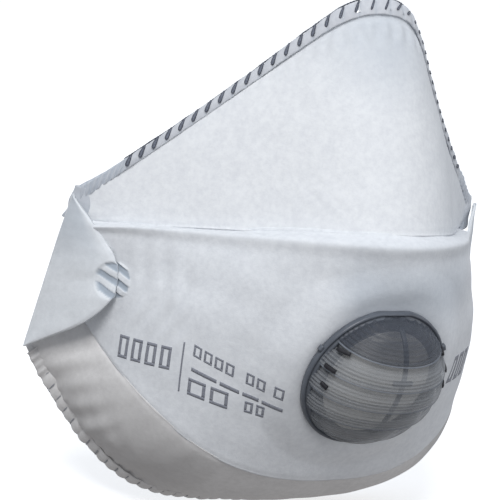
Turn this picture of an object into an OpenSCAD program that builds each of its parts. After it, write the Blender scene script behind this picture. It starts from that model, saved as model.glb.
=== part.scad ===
// Disposable flat-fold dust mask, opened to its worn shape.
// +Z points up, -Y points away from the face, and the origin lies midway between the two cheek folds.

/* [Outline] */
// Distance from the middle of the mask to the cheek end of the nose edge
cheek_x = 68; // [64:1:72]
// Height of the nose edge's middle above the origin
nose_z = 91; // [86:1:95]
// How far the nose edge's middle stands in front of the cheeks
nose_y = 36; // [32:1:40]
// Height of the upper crease's middle above the origin
upper_crease_z = 32.1; // [30:0.1:34]
// How far the upper crease's middle stands in front of the cheeks
upper_crease_y = 66; // [62:1:68]
// Depth of the lower crease's middle below the origin
lower_crease_z = 46; // [43:1:49]
// How far the lower crease's middle stands in front of the cheeks
lower_crease_y = 49; // [46:1:52]
// Depth of the chin edge's middle below the origin
chin_z = 64; // [61:1:68]
// How far the chin edge's middle stands in front of the cheeks
chin_y = 14; // [10:1:18]

/* [Layers] */
// Thickness of the outer spunbond web
cover_t = 0.5; // [0.3:0.1:0.6]
// Thickness of the filter web
filter_t = 0.7; // [0.5:0.1:0.9]
// Thickness of the inner lining web
lining_t = 0.4; // [0.3:0.1:0.5]
// Air left between two webs
layer_gap = 0.06; // [0.04:0.01:0.1]

/* [Edges] */
// Width of the folded hems
hem_w = 4.2; // [3.6:0.1:4.6]
// Distance between two overlock loops along the nose edge
nose_stitch_pitch = 4.55; // [4:0.05:6]
// Distance between two overlock loops along the chin edge
chin_stitch_pitch = 3.85; // [3:0.05:5]

/* [Valve] */
// Outer radius of the valve
valve_r = 22; // [20:0.5:23]
// Height of the valve cover's dome above its rim
dome_h = 15.9; // [13:0.1:17]
// How far the middle of the valve's base stands in front of the cheeks
valve_y = 62.5; // [62:0.1:63]
// Depth of the middle of the valve's base below the origin
valve_z = 9.5; // [8:0.1:11]
// Angle by which the valve looks down
valve_tilt = 15.7; // [12:0.1:18]
// Radius of the hole through the webs
hole_r = 15; // [14.9:0.1:15.3]

/* [Hidden] */

$fn = 96;
web_white = [0.93, 0.94, 0.95];
filter_white = [0.88, 0.90, 0.92];
thread_grey = [0.24, 0.27, 0.32];
smoke = [0.36, 0.40, 0.46];

// Cells across the whole width of a panel, and down each panel
cells_across = 32;
cells_upper = 6;
cells_middle = 10;
cells_lower = 5;
// Share of a panel's height that is left free at each crease, so that the panels can fold
crease_gap = 0.008;
// Step for the slope of a surface
tiny = 0.001;

// Each edge is the right half of a curve that is mirrored in the middle plane
nose_edge = [[0, -nose_y, nose_z], [17, -nose_y, nose_z],
             [15, 7 - nose_y, nose_z - 15], [cheek_x, 0, 24]];
upper_crease = [[0, -upper_crease_y, upper_crease_z], [27, -upper_crease_y, upper_crease_z],
                [42, -24.8, 21.6], [cheek_x - 1, 0, 16]];
lower_crease = [[0, -lower_crease_y, -lower_crease_z], [40, -lower_crease_y, -lower_crease_z],
                [57, -41, -27], [cheek_x - 7, 1, -12]];
chin_edge = [[0, -chin_y, -chin_z], [40, -chin_y, -chin_z],
             [50, 3 - chin_y, 1 - chin_z], [cheek_x + 4, 8, -24]];

// A panel lists its upper edge, its lower edge, and how far it bulges below the one and above the other
upper_panel = [nose_edge, upper_crease, 4, 1];
middle_panel = [upper_crease, lower_crease, 15, 6.2];
lower_panel = [lower_crease, chin_edge, 4, 4];

valve_pos = [0, -valve_y, -valve_z];
valve_out = [0, -cos(valve_tilt), -sin(valve_tilt)];
// The web lies flat under the valve's flange, and takes up its own curve again outside it
flat_r = valve_r + 0.5;
free_r = 34;

// Depths of the webs' faces below the outside of the mask
filter_top = -cover_t - layer_gap;
lining_top = filter_top - filter_t - layer_gap;
lining_bottom = lining_top - lining_t;
clip_bottom = 0.1;
clip_top = 0.6;
hem_inside = 0.7;
hem_outside = 1.05;
hem_t = hem_outside - hem_inside;

function unit(v) = v / norm(v);
function mix(a, b, t) = a + (b - a) * t;
function smooth(t) = let (c = min(1, max(0, t))) c * c * (3 - 2 * c);
function bezier(p, t) = pow(1 - t, 3) * p[0] + 3 * t * pow(1 - t, 2) * p[1]
    + 3 * t * t * (1 - t) * p[2] + pow(t, 3) * p[3];
function bezier_slope(p, t) = 3 * pow(1 - t, 2) * (p[1] - p[0]) + 6 * t * (1 - t) * (p[2] - p[1])
    + 3 * t * t * (p[3] - p[2]);

// Point of the right half of a panel: s runs down it, and t runs from its middle to the cheek
function half_point(panel, s, t) =
    let (top = bezier(panel[0], t),
         bottom = bezier(panel[1], t),
         slope = bezier_slope(panel[0], t) + bezier_slope(panel[1], t),
         out = unit([slope.y, -slope.x, 0]) * (1 - t * t),
         third = (bottom - top) / 3)
    bezier([top, top + third + panel[2] * out, bottom - third + panel[3] * out, bottom], s);

// The valve's flange presses the web flat
function pressed(p) =
    let (d = p - valve_pos,
         lift = d * valve_out,
         reach = norm(d - lift * valve_out),
         hold = 1 - smooth((reach - flat_r) / (free_r - flat_r)))
    p - lift * hold * valve_out;

// u runs from -1 at the wearer's right cheek to 1 at the left
function panel_point(panel, s, u) =
    let (p = half_point(panel, s, abs(u)))
    pressed([u < 0 ? -p.x : p.x, p.y, p.z]);
function panel_normal(panel, s, u) =
    unit(cross(panel_point(panel, s + tiny, u) - panel_point(panel, s - tiny, u),
               panel_point(panel, s, u + tiny) - panel_point(panel, s, u - tiny)));
function lifted(panel, s, u, h) = panel_point(panel, s, u) + panel_normal(panel, s, u) * h;

// Place of line i of the lines that divide a panel across, from -1 to 1; they are closer at the cheeks
function line_u(i) =
    let (x = 2 * i / cells_across - 1)
    (x < 0 ? -1 : 1) * (1 - pow(1 - abs(x), 1.3));

// Table of [distance from the middle, t] along the right half of an edge
function edge_table(edge) =
    let (n = 60, spans = [for (i = [0 : n - 1]) norm(bezier(edge, (i + 1) / n) - bezier(edge, i / n))])
    [for (i = 0, total = 0; i <= n; total = total + (i < n ? spans[i] : 0), i = i + 1) [total, i / n]];
function u_at(table, distance) = (distance < 0 ? -1 : 1) * lookup(abs(distance), table);

// A solid ribbon: each loop holds the points of its top face, then those of its underside in reverse.
// Top and underside are cut along the same diagonals, so that webs lie in one another without touching.
module ribbon(loops) {
    n = len(loops[0]);
    last = len(loops) - 1;
    side = [for (i = [0 : last - 1]) for (j = [0 : n - 1])
        let (a = i * n + j, b = i * n + (j + 1) % n)
        each j < n / 2 ? [[a, b, b + n], [a, b + n, a + n]] : [[a, b, a + n], [b, b + n, a + n]]];
    ends = [for (j = [0 : n / 2 - 2])
        let (a = j, b = j + 1, c = n - 2 - j, d = n - 1 - j, m = last * n)
        each [[a, c, b], [a, d, c], [m + a, m + b, m + c], [m + a, m + c, m + d]]];
    polyhedron(points = [for (loop = loops) each loop], faces = concat(side, ends), convexity = 10);
}

// One web of a panel, between the depths top and bottom; skip lines are left out at each cheek
module web(panel, top, bottom, cells, s0 = 0, s1 = 1, skip = 0) {
    ribbon([for (i = [skip : cells_across - skip])
        let (u = line_u(i))
        concat([for (j = [0 : cells]) lifted(panel, mix(s0, s1, j / cells), u, top)],
               [for (j = [cells : -1 : 0]) lifted(panel, mix(s0, s1, j / cells), u, bottom)])]);
}

// A point near an edge: reach is measured from the edge into the panel, and h outwards
function edge_point(panel, s, into, u, reach, h) =
    let (normal = panel_normal(panel, s, u),
         down = into * unit(panel_point(panel, s + tiny, u) - panel_point(panel, s - tiny, u)))
    panel_point(panel, s, u) + down * reach + normal * h;

// A hem folded round the edge s of a panel, up to one line short of each cheek
module hem(panel, s, into) {
    low = lining_bottom - 0.4;
    mid = (hem_outside + low) / 2;
    outer = [[hem_w, hem_outside], [-0.5, hem_outside], [-0.95, mid], [-0.5, low - hem_t], [hem_w, low - hem_t]];
    inner = [[hem_w, low], [-0.3, low], [-0.6, mid], [-0.3, hem_inside], [hem_w, hem_inside]];
    section = into > 0 ? concat(outer, inner)
        : [for (k = [9 : -1 : 0]) concat(outer, inner)[k]];
    ribbon([for (i = [1 : cells_across - 1])
        [for (q = section) edge_point(panel, s, into, line_u(i), q[0], q[1])]]);
}

// A row of short thread bars that lie across a hem, the given margin short of each cheek
module stitching(panel, s, into, pitch, margin, bar) {
    table = edge_table(panel[s]);
    count = floor(2 * (table[len(table) - 1][0] - margin) / pitch);
    for (i = [0 : count - 1]) {
        u = u_at(table, pitch * (i - (count - 1) / 2));
        normal = panel_normal(panel, s, u);
        down = unit(panel_point(panel, s + tiny, u) - panel_point(panel, s - tiny, u));
        along = cross(down, normal);
        p = edge_point(panel, s, into, u, bar.y / 2 + 0.2, hem_outside + 0.14 + bar.z / 2);
        multmatrix([[along.x, down.x, normal.x, p.x],
                    [along.y, down.y, normal.y, p.y],
                    [along.z, down.z, normal.z, p.z],
                    [0, 0, 0, 1]])
            cube(bar, center = true);
    }
}

module on_valve_axis() {
    translate(valve_pos) rotate([90 + valve_tilt, 0, 0]) children();
}

module valve_hole() {
    on_valve_axis() cylinder(h = 20, r = hole_r, center = true);
}

module tube(r_in, r_out, z0, z1) {
    translate([0, 0, z0]) difference() {
        cylinder(h = z1 - z0, r = r_out);
        translate([0, 0, -1]) cylinder(h = z1 - z0 + 2, r = r_in);
    }
}

// Middle panel, with the valve's hole
module cover_middle() {
    color(web_white) difference() {
        web(middle_panel, 0, -cover_t, cells_middle, crease_gap, 1 - crease_gap);
        valve_hole();
    }
}
module filter_middle() {
    color(filter_white) difference() {
        web(middle_panel, filter_top, filter_top - filter_t, cells_middle, crease_gap, 1 - crease_gap);
        valve_hole();
    }
}
module lining_middle() {
    color(web_white) difference() {
        web(middle_panel, lining_top, lining_bottom, cells_middle, crease_gap, 1 - crease_gap);
        valve_hole();
    }
}

// Upper panel, which swings about the upper crease
module cover_upper() {
    color(web_white) web(upper_panel, 0, -cover_t, cells_upper, 0, 1 - crease_gap);
}
module filter_upper() {
    color(filter_white) web(upper_panel, filter_top, filter_top - filter_t, cells_upper, 0, 1 - crease_gap);
}
module lining_upper() {
    color(web_white) web(upper_panel, lining_top, lining_bottom, cells_upper, 0, 1 - crease_gap);
}
module nose_hem() {
    color(web_white) hem(upper_panel, 0, 1);
}
// Bendable metal strip inside the hem
module nose_clip() {
    color("silver") web(upper_panel, clip_top, clip_bottom, 1, 0.004, 0.042, 10);
}
// Cushion behind the bridge of the nose
module nose_foam() {
    color("dimgray") web(upper_panel, lining_bottom - 0.15, lining_bottom - 2.6, 2, 0.075, 0.24, 11);
}
module nose_stitching() {
    color(thread_grey) stitching(upper_panel, 0, 1, nose_stitch_pitch, 17, [1.2, 3.2, 0.4]);
}

// Lower panel, which swings about the lower crease
module cover_lower() {
    color(web_white) web(lower_panel, 0, -cover_t, cells_lower, 2 * crease_gap, 1);
}
module filter_lower() {
    color(filter_white) web(lower_panel, filter_top, filter_top - filter_t, cells_lower, 2 * crease_gap, 1);
}
module lining_lower() {
    color(web_white) web(lower_panel, lining_top, lining_bottom, cells_lower, 2 * crease_gap, 1);
}
module chin_hem() {
    color(web_white) hem(lower_panel, 1, -1);
}
module chin_stitching() {
    color(thread_grey) stitching(lower_panel, 1, -1, chin_stitch_pitch, 7, [0.6, 3.2, 0.3]);
}

// Cheek tab: the end of the laminate folded forwards over the panels, with room for a strap under it
tab_fold = [[cheek_x + 0.8, 0.2, 24], [cheek_x + 4.8, 8.2, -24]];
tab_inner = [tab_fold[0], [59, -20, 17], [57, -27, -13], tab_fold[1]];
tab_t = 1.2;
tab_cells = 12;
module side_tab(side) {
    out = [0.91, -0.41, 0];
    loops = [for (i = [0 : tab_cells])
        let (v = mix(0.03, 0.97, i / tab_cells),
             fold = mix(tab_fold[0], tab_fold[1], v),
             edge = bezier(tab_inner, v))
        concat([for (j = [0 : 4]) mix(fold, edge, j / 4) + out * (tab_t + 0.6 + 1.6 * sin(45 * j))],
               [for (j = [4 : -1 : 0]) mix(fold, edge, j / 4) + out * (0.6 + 1.6 * sin(45 * j))])];
    mirrored = [for (loop = loops) [for (k = [len(loop) - 1 : -1 : 0]) [-loop[k].x, loop[k].y, loop[k].z]]];
    ribbon(side > 0 ? loops : mirrored);
}
module side_tab_left() {
    color(web_white) side_tab(1);
}
module side_tab_right() {
    color(web_white) side_tab(-1);
}

// Valve, drawn with its base in the XY plane and its outside along +Z
tube_r = hole_r - 0.4;
bore_r = tube_r - 1.2;
lip_z = 3;
flap_t = 0.5;
flap_r = 16.4;
flap_z = lip_z + 0.05;
hinge_y = 11.5;
bar_z = flap_z + flap_t + 0.05;
rim_z = 1.4;
slot_count = 5;

// Flange, tube and spokes that carry the flap
module valve_seat() {
    color(smoke) on_valve_axis() {
        tube(tube_r - 0.1, valve_r - 1, 0.1, 1.3);
        tube(bore_r, tube_r, -4, lip_z);
        tube(tube_r - 0.1, flap_r - 0.3, lip_z - 1, lip_z);
        intersection() {
            translate([0, 0, -0.4]) cylinder(h = 1.6, r = bore_r + 0.2);
            for (turn = [0, 60, 120])
                rotate([0, 0, turn]) cube([2 * valve_r, 1.2, 6], center = true);
        }
    }
}

// Louvred dome that snaps over the seat
module valve_cover() {
    dome_r = valve_r - 1.6;
    wall = 1.1;
    steps = 14;
    outside = [for (i = [0 : steps]) [dome_r * cos(90 * i / steps), dome_h * sin(90 * i / steps)]];
    inside = [for (i = [steps : -1 : 0])
        [(dome_r - wall) * cos(90 * i / steps), (dome_h - wall) * sin(90 * i / steps)]];
    color(smoke) on_valve_axis() {
        tube(valve_r - 0.8, valve_r, 0.15, rim_z + 0.1);
        difference() {
            union() {
                tube(dome_r - 0.5, valve_r, rim_z, rim_z + 1.1);
                translate([0, 0, rim_z]) rotate_extrude() polygon(concat(outside, inside));
            }
            for (i = [0 : slot_count - 1])
                for (side = [-1, 1])
                    translate([side * (3 + valve_r / 2), mix(-12, 12, i / (slot_count - 1)), rim_z + 14])
                        cube([valve_r, 1.1, 24], center = true);
        }
    }
}

// Ring pressed on behind the webs, which grips them against the flange
module valve_clamp_ring() {
    color(smoke) on_valve_axis() tube(tube_r + 0.1, valve_r - 3, lining_bottom - 1.7, lining_bottom - 0.15);
}

// Silicone flap, which lifts away from the seat as the wearer breathes out
module valve_flap() {
    color([0.80, 0.79, 0.74]) on_valve_axis() translate([0, 0, flap_z]) intersection() {
        cylinder(h = flap_t, r = flap_r);
        translate([-valve_r, hinge_y - 2 * valve_r, -1]) cube([2 * valve_r, 2 * valve_r, 3]);
    }
}

// The strip of the same silicone that is held under the bar
module valve_flap_root() {
    color([0.80, 0.79, 0.74]) on_valve_axis() translate([0, 0, flap_z]) intersection() {
        cylinder(h = flap_t, r = flap_r);
        translate([-valve_r, hinge_y + 0.05, -1]) cube([2 * valve_r, valve_r, 3]);
    }
}

// Bar that clamps the top of the flap
module valve_flap_bar() {
    bar_w = 16;
    color(smoke) on_valve_axis()
        translate([-bar_w / 2, hinge_y + 0.4, bar_z]) cube([bar_w, 2.4, 1.2]);
}

cover_middle();
filter_middle();
lining_middle();
cover_upper();
filter_upper();
lining_upper();
nose_hem();
nose_clip();
nose_foam();
nose_stitching();
cover_lower();
filter_lower();
lining_lower();
chin_hem();
chin_stitching();
side_tab_right();
side_tab_left();
valve_seat();
valve_cover();
valve_clamp_ring();
valve_flap();
valve_flap_root();
valve_flap_bar();
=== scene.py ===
"""Disposable flat-fold dust mask: its visible surfaces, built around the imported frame."""
import math

import bpy
import numpy as np
from mathutils import Matrix, Vector


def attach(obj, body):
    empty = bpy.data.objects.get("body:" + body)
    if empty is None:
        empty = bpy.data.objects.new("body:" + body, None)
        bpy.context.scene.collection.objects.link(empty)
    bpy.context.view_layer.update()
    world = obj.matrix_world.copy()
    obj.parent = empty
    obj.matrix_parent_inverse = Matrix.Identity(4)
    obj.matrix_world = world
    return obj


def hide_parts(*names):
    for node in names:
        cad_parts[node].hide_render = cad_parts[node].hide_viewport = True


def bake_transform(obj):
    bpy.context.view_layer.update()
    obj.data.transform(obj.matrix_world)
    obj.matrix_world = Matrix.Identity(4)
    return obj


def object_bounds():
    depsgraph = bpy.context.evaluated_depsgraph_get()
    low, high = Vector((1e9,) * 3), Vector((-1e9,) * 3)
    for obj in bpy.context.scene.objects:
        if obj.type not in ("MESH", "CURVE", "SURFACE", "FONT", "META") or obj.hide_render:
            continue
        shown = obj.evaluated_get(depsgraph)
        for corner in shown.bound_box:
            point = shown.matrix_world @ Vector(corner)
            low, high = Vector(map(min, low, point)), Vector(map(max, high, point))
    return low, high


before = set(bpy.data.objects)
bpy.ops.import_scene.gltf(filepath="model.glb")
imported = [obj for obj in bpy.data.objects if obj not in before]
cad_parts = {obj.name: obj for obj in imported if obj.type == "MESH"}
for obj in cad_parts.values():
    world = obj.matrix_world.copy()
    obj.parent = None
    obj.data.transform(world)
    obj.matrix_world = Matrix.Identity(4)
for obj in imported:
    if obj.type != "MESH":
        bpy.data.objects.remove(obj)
cad_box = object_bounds()

MM = 0.001
TAU = 2 * math.pi


# ---------------- shape of the mask

def mm(*rows):
    """Points given in millimetres, as an array in metres."""
    return np.array(rows, float) * MM


# Left halves of the four edges, as cubic Bezier control points from the middle to the cheek
NOSE_EDGE = mm((0, -36, 91), (17, -36, 91), (15, -29, 76), (68, 0, 24))
UPPER_CREASE = mm((0, -66, 32.1), (27, -66, 32.1), (42, -24.8, 21.6), (67, 0, 16))
LOWER_CREASE = mm((0, -49, -46), (40, -49, -46), (57, -41, -27), (61, 1, -12))
CHIN_EDGE = mm((0, -14, -64), (40, -14, -64), (50, -11, -63), (72, 8, -24))

# A panel is its upper edge, its lower edge and its fullness below the one and above the other
UPPER = (NOSE_EDGE, UPPER_CREASE, 4 * MM, 1 * MM)
MIDDLE = (UPPER_CREASE, LOWER_CREASE, 15 * MM, 6.2 * MM)
LOWER = (LOWER_CREASE, CHIN_EDGE, 4 * MM, 4 * MM)
UPPER_HEIGHT = 66 * MM
MIDDLE_HEIGHT = 80 * MM
LOWER_HEIGHT = 40 * MM

VALVE_TILT = math.radians(15.7)
VALVE_POS = np.array((0, -62.5, -9.5)) * MM
VALVE_OUT = np.array((0, -math.cos(VALVE_TILT), -math.sin(VALVE_TILT)))
VALVE_UP = np.array((0, -math.sin(VALVE_TILT), math.cos(VALVE_TILT)))
VALVE_TURN = Vector(VALVE_OUT).to_track_quat("Z", "Y")
VALVE_R = 22 * MM
HOLE_R = 15.1 * MM
# The web is flat out to the first radius round the valve, and free of it beyond the second
FLAT_R = 22.5 * MM
FREE_R = 34 * MM
# Step in s or u for slopes
TINY = 0.001


def unit(v):
    return v / np.maximum(np.linalg.norm(v, axis=-1, keepdims=True), 1e-12)


def smooth(t):
    c = np.clip(t, 0, 1)
    return c * c * (3 - 2 * c)


def bell(x, width):
    """1 at x = 0, falling smoothly to nothing at about twice the width."""
    return np.exp(-(x / width) ** 2)


def bezier(p, t):
    t = np.asarray(t)[..., None]
    return (1 - t) ** 3 * p[0] + 3 * t * (1 - t) ** 2 * p[1] + 3 * t * t * (1 - t) * p[2] + t ** 3 * p[3]


def bezier_slope(p, t):
    t = np.asarray(t)[..., None]
    return 3 * (1 - t) ** 2 * (p[1] - p[0]) + 6 * t * (1 - t) * (p[2] - p[1]) + 3 * t * t * (p[3] - p[2])


def side_name(side):
    return "left" if side > 0 else "right"


def mirrored(p, u):
    """Points of the left half, moved to the right half where u is negative."""
    return p * np.stack([np.where(u < 0, -1.0, 1.0), 1 + 0 * u, 1 + 0 * u], -1)


def pressed(p):
    """The valve's flange holds the web flat."""
    d = p - VALVE_POS
    lift = d @ VALVE_OUT
    reach = np.linalg.norm(d - lift[..., None] * VALVE_OUT, axis=-1)
    hold = 1 - smooth((reach - FLAT_R) / (FREE_R - FLAT_R))
    return p - (lift * hold)[..., None] * VALVE_OUT


def panel_point(panel, s, u):
    """A panel's outside at s down it and u across it, from -1 at the right cheek to 1 at the left."""
    s, u = np.broadcast_arrays(np.asarray(s, float), np.asarray(u, float))
    t = np.abs(u)
    top, bottom = bezier(panel[0], t), bezier(panel[1], t)
    slope = bezier_slope(panel[0], t) + bezier_slope(panel[1], t)
    out = np.stack([slope[..., 1], -slope[..., 0], 0 * t], -1)
    out = unit(out) * (1 - t * t)[..., None]
    third = (bottom - top) / 3
    p = bezier([top, top + third + panel[2] * out, bottom - third + panel[3] * out, bottom], s)
    return pressed(mirrored(p, u))


def panel_frame(panel, s, u):
    """The point, its outward normal, and the unit direction down the panel."""
    down = panel_point(panel, s + TINY, u) - panel_point(panel, s - TINY, u)
    across = panel_point(panel, s, u + TINY) - panel_point(panel, s, u - TINY)
    return panel_point(panel, s, u), unit(np.cross(down, across)), unit(down)


def edge_lengths(edge):
    """t and the distance from the middle at points along one half of an edge."""
    t = np.linspace(0, 1, 601)
    steps = np.linalg.norm(np.diff(bezier(edge, t), axis=0), axis=1)
    return t, np.concatenate([[0], np.cumsum(steps)])


def u_at(edge, distance):
    """u at a distance along an edge from its middle, negative to the right."""
    t, lengths = edge_lengths(edge)
    return np.sign(distance) * np.interp(np.abs(distance), lengths, t)


def distance_at(edge, u):
    t, lengths = edge_lengths(edge)
    return np.sign(u) * np.interp(np.abs(u), t, lengths)


def waves(p, length, count, seed):
    """Smooth random relief between about -1 and 1, made of plane waves of about the given length."""
    rng = np.random.default_rng(seed)
    total = 0
    for _ in range(count):
        direction = unit(rng.normal(size=3))
        size = TAU / (length * rng.uniform(0.7, 1.5))
        total = total + np.sin(p @ direction * size + rng.uniform(0, TAU))
    return total / math.sqrt(count)


def folds(p, start, end, width, spacing, slant, height):
    """A few parallel wrinkles around the line from start to end. All sizes are in millimetres."""
    a, b = np.array(start), np.array(end)
    length = np.linalg.norm(b - a)
    direction = (b - a) / length
    d = p / MM - a
    along = d @ direction
    aside = np.linalg.norm(d - along[..., None] * direction, axis=-1)
    inside = smooth(along / (0.2 * length)) * smooth((length - along) / (0.2 * length))
    wrinkle = np.sin(TAU * (along + slant * p[..., 2] / MM) / spacing)
    return height * inside * bell(aside, width) * wrinkle


# ---------------- relief of the fabric

WELD_POS = np.array((58.6, -15.0, 3.1)) * MM
WELD_R = 5.2 * MM
WELD_PITCH = 3.6 * MM
WELD_SLANT = math.radians(17)
WELD_STAIN = 0.85
HEM_W = 4.2 * MM
# Distance between stitches along each hem, and how many there are
NOSE_PITCH = 4.55 * MM
NOSE_STITCHES = 38
CHIN_PITCH = 3.85 * MM
CHIN_STITCHES = 44
# The small pleats of a hem beyond its stitches
PLEAT_PITCH = 2.3 * MM
PLEAT_HEIGHT = 0.22 * MM


def weld(p):
    """(share of a pressed bar, share of the whole disc) of the spot weld at each cheek."""
    d = np.stack([np.abs(p[..., 0]), p[..., 1], p[..., 2]], -1) - WELD_POS
    forward = d @ unit(np.array((-0.52, -0.85, 0)))
    up = d[..., 2]
    turned = up * math.cos(WELD_SLANT) + forward * math.sin(WELD_SLANT)
    disc = smooth((WELD_R - np.sqrt(forward ** 2 + up ** 2)) / (0.4 * MM))
    bars = smooth(0.5 + 2.2 * np.cos(TAU * turned / WELD_PITCH))
    return disc * bars, disc


def upper_relief(s, u, p):
    """Height above the upper panel's plain surface: a dip at the crease and hem, gathers and wrinkles."""
    to_crease = (1 - s) * UPPER_HEIGHT
    to_edge = s * UPPER_HEIGHT
    h = -0.45 * bell(to_crease, 1.6 * MM) - 0.35 * bell(to_crease - 2 * MM, 5 * MM)
    h = h + 0.4 * waves(p, 42 * MM, 7, 3) * smooth(to_edge / (12 * MM)) + 0.05 * waves(p, 11 * MM, 9, 4)
    d = distance_at(NOSE_EDGE, u)
    gathers = np.cos(TAU * d / NOSE_PITCH) * (0.08 + 0.3 * bell(d, 16 * MM))
    h = h + gathers * bell(to_edge - 8.5 * MM, 2.6 * MM)
    h = h + folds(p, (-40, -50, 40), (20, -62, 34), 7, 5.2, 1.1, 0.045)
    h = h - 0.45 * bell(to_edge - 4.6 * MM, 1.0 * MM)
    return h * MM


def middle_relief(s, u, p):
    """The same for the middle panel: a roll below the crease, wrinkles by the cheeks, and the welds."""
    from_upper = s * MIDDLE_HEIGHT
    from_lower = (1 - s) * MIDDLE_HEIGHT
    open_part = smooth((1 - np.abs(u)) / 0.1)
    h = 1.5 * bell(from_upper - 3.4 * MM, 2.6 * MM) * open_part - 0.75 * bell(from_upper, 1.2 * MM)
    h = h + 1.9 * smooth(from_upper / (4 * MM)) * smooth((26 * MM - from_upper) / (22 * MM)) * open_part
    h = h - 0.22 * bell(from_lower, 1.2 * MM)
    h = h + 0.5 * waves(p, 45 * MM, 7, 11) + 0.08 * waves(p, 12 * MM, 9, 12)
    reach = np.linalg.norm(p - VALVE_POS, axis=-1)
    free = smooth((reach - VALVE_R) / (6 * MM))
    h = h - 0.9 * bell(from_upper - 13 * MM, 5 * MM) * bell(p[..., 0] + 14 * MM, 16 * MM)
    for side in (-1, 1):
        h = h + folds(p, (60 * side, -17, 14), (46 * side, -40, 8), 8, 7, 0.4, 0.25)
        h = h + folds(p, (58 * side, -20, -4), (46 * side, -42, -2), 7, 6, -0.6, 0.2)
    bars, disc = weld(p)
    h = h * free * (1 - disc) - 0.55 * bars - 0.05 * disc
    return h * MM


def lower_relief(s, u, p):
    """The same for the chin panel: a swell, gathers along its hem, and wrinkles by the cheeks."""
    from_crease = s * LOWER_HEIGHT
    to_edge = (1 - s) * LOWER_HEIGHT
    h = -0.25 * bell(from_crease, 1.2 * MM) + 1.8 * np.sin(math.pi * np.clip(from_crease / (36 * MM), 0, 1))
    h = h + 0.5 * waves(p, 30 * MM, 7, 21) + 0.09 * waves(p, 9 * MM, 9, 22)
    d = distance_at(CHIN_EDGE, u)
    gathers = np.cos(TAU * d / CHIN_PITCH + 0.5 * waves(p, 20 * MM, 5, 23))
    h = h + 0.2 * gathers * bell(to_edge - 4 * MM, 4 * MM)
    wide = np.sin(TAU * d / (13 * MM) + 1.6 * waves(p, 26 * MM, 5, 24))
    h = h + 0.22 * wide * bell(to_edge - 8 * MM, 9 * MM) * smooth(np.abs(u) * 2)
    for side in (-1, 1):
        h = h + folds(p, (64 * side, 0, -18), (52 * side, -18, -44), 9, 9, -0.5, 0.3)
        h = h + folds(p, (62 * side, -4, -30), (40 * side, -30, -48), 6, 8, 0.8, 0.2)
    h = h - 0.35 * bell(to_edge - 4.4 * MM, 1.0 * MM)
    return h * MM


# ---------------- mesh helpers

def new_object(name, points, faces, material):
    mesh = bpy.data.meshes.new(name)
    mesh.from_pydata([tuple(p) for p in points], [], [tuple(f) for f in faces])
    mesh.validate()
    mesh.polygons.foreach_set("use_smooth", [True] * len(mesh.polygons))
    mesh.materials.append(material)
    piece = bpy.data.objects.new(name, mesh)
    bpy.context.scene.collection.objects.link(piece)
    return piece


def set_tone(piece, values):
    """A shade from 0 to 1 for each point, which the material reads."""
    tone = piece.data.attributes.new("tone", "FLOAT", "POINT")
    tone.data.foreach_set("value", np.asarray(values, np.float32).ravel())


def grid_faces(rows, columns, offset=0, flip=False, closed=False):
    last = columns if closed else columns - 1
    i, j = np.meshgrid(np.arange(rows - 1), np.arange(last), indexing="ij")
    k = (j + 1) % columns
    quads = np.stack([i * columns + j, i * columns + k, (i + 1) * columns + k, (i + 1) * columns + j], -1)
    quads = quads.reshape(-1, 4) + offset
    return quads[:, ::-1] if flip else quads


def rim_indices(rows, columns):
    """The points round a grid, in order."""
    last = rows * columns - 1
    return np.concatenate([
        np.arange(columns - 1), np.arange(rows - 1) * columns + columns - 1,
        last - np.arange(columns - 1), (rows - 1 - np.arange(rows - 1)) * columns])


def layer_faces(rows, columns):
    """Faces of a closed sheet made of two grids of points, the outer one first."""
    n = rows * columns
    ring = rim_indices(rows, columns)
    after = np.roll(ring, -1)
    rim = np.stack([after, ring, ring + n, after + n], -1)
    return np.concatenate([grid_faces(rows, columns), grid_faces(rows, columns, n, True), rim])


def shell(name, top, bottom, material):
    """A closed sheet between two grids of points of the same shape."""
    points = np.concatenate([top.reshape(-1, 3), bottom.reshape(-1, 3)])
    return new_object(name, points, layer_faces(*top.shape[:2]), material)


def ellipses(centres, side, up, width, depth, count):
    """Loops of points round a path, reaching width to each side and depth up and down."""
    angle = (np.arange(count) / count * TAU)[None, :, None]
    width, depth = (np.broadcast_to(size, len(centres))[:, None, None] for size in (width, depth))
    return centres[:, None] + width * side[:, None] * np.cos(angle) + depth * up[:, None] * np.sin(angle)


def loop_solid(loops):
    """Points and faces of a closed solid through loops of points, with flat ends."""
    rows, columns = loops.shape[:2]
    faces = [tuple(f) for f in grid_faces(rows, columns, closed=True)]
    faces.append(tuple(range(columns - 1, -1, -1)))
    faces.append(tuple(range((rows - 1) * columns, rows * columns)))
    return loops.reshape(-1, 3), faces


def swept(name, loops, material):
    return new_object(name, *loop_solid(loops), material)


def side_and_up(path, normals):
    """Unit directions across a path, along the surface and away from it."""
    along = unit(np.gradient(path, axis=0))
    side = unit(np.cross(along, normals))
    return side, np.cross(side, along)


def tube(path, normals, radius, sides):
    """Points and faces of a round thread along a path."""
    return loop_solid(ellipses(path, *side_and_up(path, normals), radius, radius, sides))


def joined(name, parts, material):
    """One object from several (points, faces) pairs."""
    points, faces, count = [], [], 0
    for part_points, part_faces in parts:
        points.append(part_points)
        faces += [tuple(i + count for i in f) for f in part_faces]
        count += len(part_points)
    return new_object(name, np.concatenate(points), faces, material)


# ---------------- materials

def node_material(name):
    material = bpy.data.materials.new(name)
    material.use_nodes = True
    return material, material.node_tree, material.node_tree.nodes["Principled BSDF"]


def give(tree, socket, value):
    """Links another node's output to the socket, or sets the socket's own value."""
    if isinstance(value, bpy.types.NodeSocket):
        tree.links.new(value, socket)
    else:
        socket.default_value = value


def give_all(tree, node, **inputs):
    for key, value in inputs.items():
        give(tree, node.inputs[key.replace("_", " ")], value)


def add(tree, kind, **inputs):
    node = tree.nodes.new(kind)
    give_all(tree, node, **inputs)
    return node


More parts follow.
